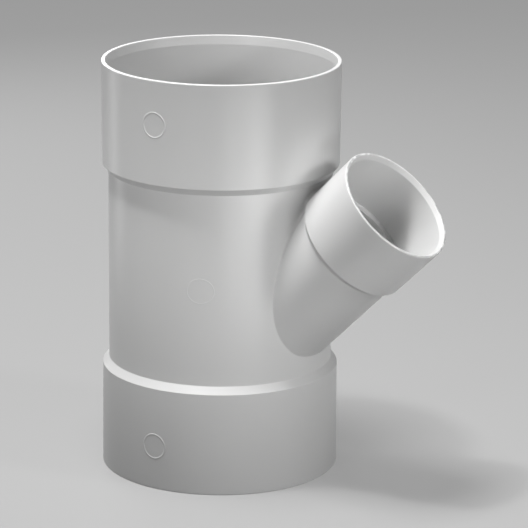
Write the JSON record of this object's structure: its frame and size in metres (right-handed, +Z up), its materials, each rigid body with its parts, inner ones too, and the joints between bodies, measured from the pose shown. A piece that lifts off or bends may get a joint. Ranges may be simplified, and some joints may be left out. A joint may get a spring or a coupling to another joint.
{
  "type": "lateral wye fitting",
  "caption": "White moulded pipe wye: a straight run with a plain socket at each end and a smaller socketed branch leaving it at 45 degrees, for joining a side drain to a main.",
  "frame": {"origin": "centre of the lower mouth, in the plane of the rim that the fitting stands on", "axes": "+Z up the run's axis, towards the upper socket; the branch leans from the run towards +X, in the XZ plane; the side with the round mould marks faces -Y"},
  "size_m": [0.3405, 0.223, 0.3882],
  "materials": {
    "white_pvc": "white rigid PVC as moulded, satin sheen"
  },
  "bodies": {
    "root": {"wye_body": "white_pvc"}
  },
  "joints": []
}
